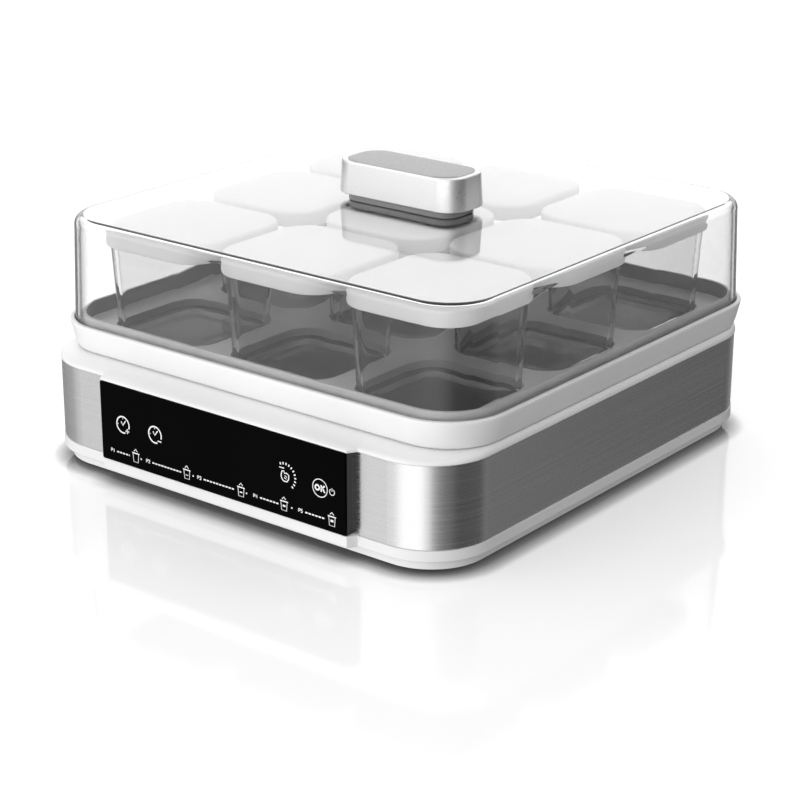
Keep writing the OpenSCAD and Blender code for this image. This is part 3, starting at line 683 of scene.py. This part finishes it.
def timer_key(x, z, plus):
    """A clock face with hands, and a plus or a minus in the gap at its foot."""
    arc_mark(x, z, 4.4, -20, 290, 0.75)
    mark([(x - 1.3, z + 1.6), (x - 0.1, z - 0.3), (x + 2.0, z + 2.5)], 0.65)
    mark([(x + 1.7, z - 3), (x + 4.3, z - 3)], 0.6)
    if plus:
        mark([(x + 3.0, z - 4.3), (x + 3.0, z - 1.7)], 0.6)
    for hour in (90, 180):
        mark([polar(x, z, 3.1, hour), polar(x, z, 3.8, hour)], 0.4)


def ok_key(x, z):
    """OK in a ring, with the power sign beside it."""
    arc_mark(x, z, 4.55, 0, 360, 0.45)
    arc_mark(x - 1.7, z, 1.25, 0, 360, 0.85)
    write("K", x + 0.8, z - 1.7, 3.4, 0.85)
    arc_mark(x + 7.5, z - 0.2, 1.55, 60, -240, 0.4)
    mark([(x + 7.5, z + 0.1), (x + 7.5, z + 1.8)], 0.4)


def programme_key(x, z):
    """A pointing hand inside an arc of ticks."""
    for angle in range(-45, 131, 16):
        mark([polar(x, z, 6.0, angle), polar(x, z, 7.2, angle)], 0.7)
    hand = ((-2.5, 0), (-1.9, 2.3), (-0.7, 2.6), (-0.2, 1.4), (0.9, 1.8), (2.5, 0.9), (2.3, -1.3), (1.1, -2.7),
            (-0.9, -2.7), (-2.1, -1.6))
    mark([(x + u, z + v) for u, v in hand], 0.6, closed=True)
    mark([(x - 0.2, z + 0.3), (x + 1.3, z - 0.4)], 0.4)
    mark([(x - 0.6, z - 0.8), (x + 0.9, z - 1.4)], 0.4)
    mark([(x - 3.5, z + 4.0), (x - 0.5, z + 4.0)], 0.5)


def pot(x, fill):
    """A small pot with its lid off; its line of filling gets higher and thicker with each step of fill."""
    mark([(x - 2.0, 8.0), (x - 1.6, 3.4), (x + 1.6, 3.4), (x + 2.0, 8.0)], 0.35)
    mark([(x - 2.5, 8.2), (x + 2.5, 8.2)], 0.6)
    mark([(x - 1.2, 9.2), (x, 10.4), (x + 1.2, 9.2)], 0.45)
    if fill:
        level = 5.2 + 0.2 * fill
        mark([(x - 0.9, level), (x + 0.9, level)], 0.15 + 0.25 * fill)


def programme_list():
    """For each programme: its number, a dashed rule, a pot, and a dot before the next one."""
    places = ((-75.0, -61.8, -57.3), (-49.8, -25.5, -21.5), (-14.2, 10.4, 15.1), (23.4, 39.9, 43.2), (52.5, 69.8, 73.5))
    for number, (start, end, pot_x) in enumerate(places, 1):
        write(f"P{number}", start, 5.3, 1.7, 0.42)
        x = start + 4.2
        while x < end - 0.6:
            mark([(x, 6.0), (min(x + 1.5, end), 6.0)], 0.75)
            x += 2.1
        pot(pot_x, number - 1)
        if number < len(places):
            mark([(end + 7.9, 6.0), (end + 8.7, 6.0)], 0.8)


timer_key(-65.7, 21.9, plus=True)
timer_key(-43.0, 21.9, plus=False)
ok_key(66.2, 21.1)
programme_key(44.1, 21.6)
programme_list()
marks_obj = add_mesh("panel_marks", mark_verts, mark_faces)
marks_obj.data.materials.append(print_white)
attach(marks_obj, "base")

# ---------------------------------------------------------------- floor
FLOOR_HALF = 9.0  # m
CONTACT_REACH, CONTACT_POWER = 0.012, 2.2  # m, how far the shadow spreads from the base, and how fast it fades


def table():
    """A pale polished floor with a soft shadow where the base meets it."""
    s = FLOOR_HALF
    mesh = bpy.data.meshes.new("floor")
    mesh.from_pydata([(-s, -s, 0), (s, -s, 0), (s, s, 0), (-s, s, 0)], [], [(0, 1, 2, 3)])
    floor = bpy.data.objects.new("floor", mesh)
    scene.collection.objects.link(floor)
    mat, tree, shader = new_material("floor_white", Roughness=0.07, IOR=1.45, Emission_Color=(1, 1, 1, 1))
    contact = tree.nodes.new("ShaderNodeAmbientOcclusion")
    contact.samples = 8
    contact.inputs["Distance"].default_value = CONTACT_REACH
    soft = maths(tree, "POWER", contact.outputs["AO"], CONTACT_POWER)
    tree.links.new(blend_colour(tree, soft, grey(0.0), grey(0.9), 0.0, 1.0), shader.inputs["Base Color"])
    tree.links.new(remap(tree, soft, 0.0, 0.15, 0.0, 1.0), shader.inputs["Emission Strength"])
    floor.data.materials.append(mat)
    floor.visible_diffuse = False
    floor.visible_glossy = False


table()

# ---------------------------------------------------------------- light
# Soft boxes round the table: a ring under the horizon, a ring above it, and one overhead. Each ring is a list of
# (compass angle, brightness), from the front (0) towards the right (90).
LOW_RING = ((-180, 0.35), (-150, 0.45), (-110, 0.45), (-73, 0.62), (-48, 1.1), (-28, 1.35), (-8, 2.0), (20, 2.0),
            (33, 1.35), (43, 0.62), (53, 0.38), (63, 0.26), (84, 0.12), (124, 0.14), (141, 0.32), (146, 0.24),
            (151, 0.14), (165, 0.2), (180, 0.35))
HIGH_RING = ((-180, 0.7), (-162, 1.9), (-122, 1.9), (-100, 1.1), (-60, 1.9), (-40, 2.3), (30, 2.3), (58, 0.7),
             (90, 0.35), (115, 0.3), (132, 0.9), (150, 0.9), (165, 0.3), (180, 0.7))
OVERHEAD = 1.25
BRIGHTEST = 2.0  # a ramp's colours are kept in scale by dividing by this


def ring_light(tree, turn, stops):
    """Brightness round the compass; turn runs from 0 to 1 over the whole circle."""
    ramp = tree.nodes.new("ShaderNodeValToRGB")
    ramp.color_ramp.interpolation = "EASE"
    points = ramp.color_ramp.elements
    while len(points) < len(stops):
        points.new(0.5)
    for point, (angle, _) in zip(points, stops):
        point.position = (angle + 180) / 360
    for point, (_, value) in zip(points, stops):
        point.color = (*grey(value / BRIGHTEST), 1)
    tree.links.new(turn, ramp.inputs["Fac"])
    return maths(tree, "MULTIPLY", ramp.outputs["Color"], BRIGHTEST)


def mix(tree, factor, first, second):
    """Runs from first to second with the factor."""
    rest = maths(tree, "SUBTRACT", 1.0, factor)
    return maths(tree, "ADD", maths(tree, "MULTIPLY", first, rest), maths(tree, "MULTIPLY", second, factor))


def studio():
    """White boxes at the front and behind, dark flags at the right, as the steel and the dome mirror them."""
    world = bpy.data.worlds.new("studio")
    scene.world = world
    world.use_nodes = True
    tree = world.node_tree
    tree.nodes.clear()
    axes = split_axes(tree, tree.nodes.new("ShaderNodeTexCoord").outputs["Generated"])
    compass = maths(tree, "ARCTAN2", axes["X"], maths(tree, "MULTIPLY", axes["Y"], -1.0))
    turn = maths(tree, "MULTIPLY_ADD", compass, 0.5 / math.pi, 0.5)
    low = ring_light(tree, turn, LOW_RING)
    high = ring_light(tree, turn, HIGH_RING)
    above = mix(tree, remap(tree, axes["Z"], 0.0, 1.0, 0.45, 0.75, "SMOOTHSTEP"), high, OVERHEAD)
    strength = mix(tree, remap(tree, axes["Z"], 0.0, 1.0, -0.06, 0.08, "SMOOTHSTEP"), low, above)
    background = tree.nodes.new("ShaderNodeBackground")
    output = tree.nodes.new("ShaderNodeOutputWorld")
    tree.links.new(strength, background.inputs["Strength"])
    tree.links.new(background.outputs["Background"], output.inputs["Surface"])


studio()
scene.view_settings.view_transform = "Standard"
scene.cycles.max_bounces = 24
scene.cycles.transmission_bounces = 24
scene.cycles.transparent_max_bounces = 16
scene.cycles.glossy_bounces = 8
